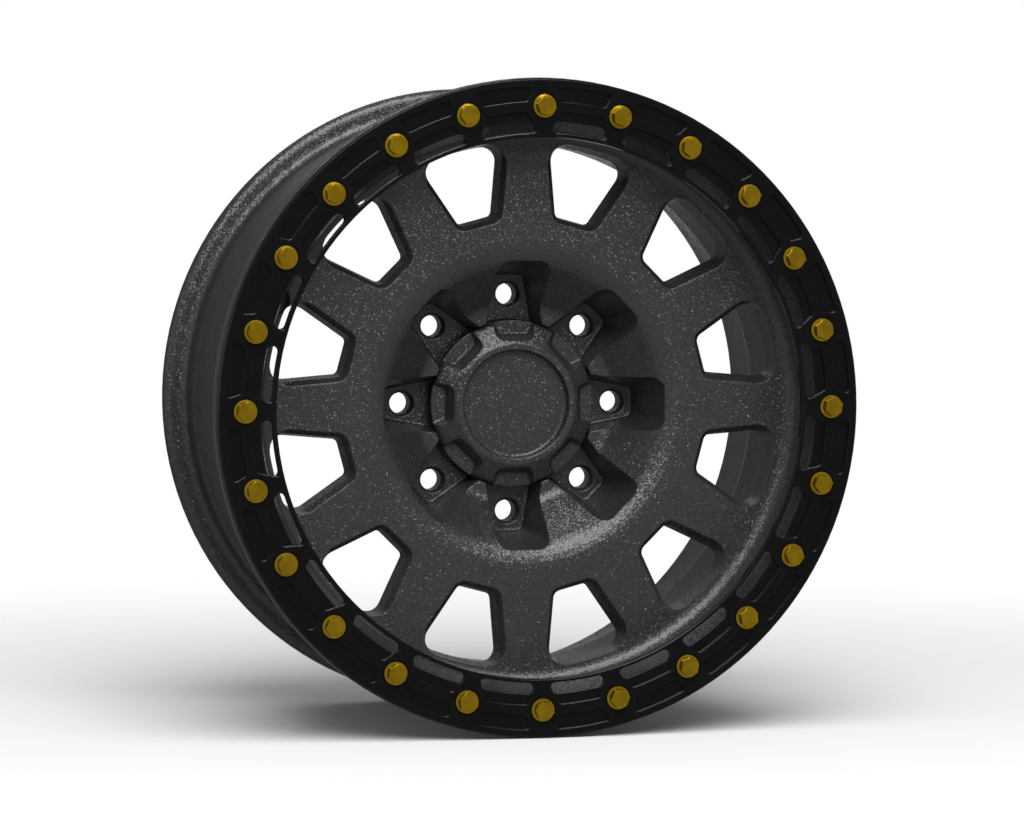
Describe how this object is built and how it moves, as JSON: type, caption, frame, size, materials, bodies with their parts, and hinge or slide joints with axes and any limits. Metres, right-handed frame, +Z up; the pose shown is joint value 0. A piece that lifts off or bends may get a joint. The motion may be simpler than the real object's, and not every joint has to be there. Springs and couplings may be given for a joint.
{
  "type": "simulated beadlock wheel",
  "caption": "Cast truck wheel with a deep dish, a windowed spoke face, a bolted-on trim ring that imitates a beadlock, and a push-in centre cap.",
  "frame": {"origin": "wheel centre, on the spin axis, in the plane of the hub mounting face", "axes": "+Z up, +Y along the spin axis towards the vehicle, so the visible face looks along -Y, +X to the right seen from the front"},
  "size_m": [0.4997, 0.2732, 0.4998],
  "materials": {
    "casting_coat": "textured anthracite powder coat on cast aluminium",
    "ring_coat": "satin black paint on machined aluminium",
    "bolt_plate": "gold zinc plate on steel",
    "cap_coat": "moulded plastic, textured anthracite paint",
    "spring_wire": "bright drawn spring wire"
  },
  "bodies": {
    "root": {"wheel_casting": "casting_coat", "beadlock_ring": "ring_coat", "ring_bolts": "bolt_plate", "centre_cap": "cap_coat", "cap_spring_ring": "spring_wire"}
  },
  "joints": []
}
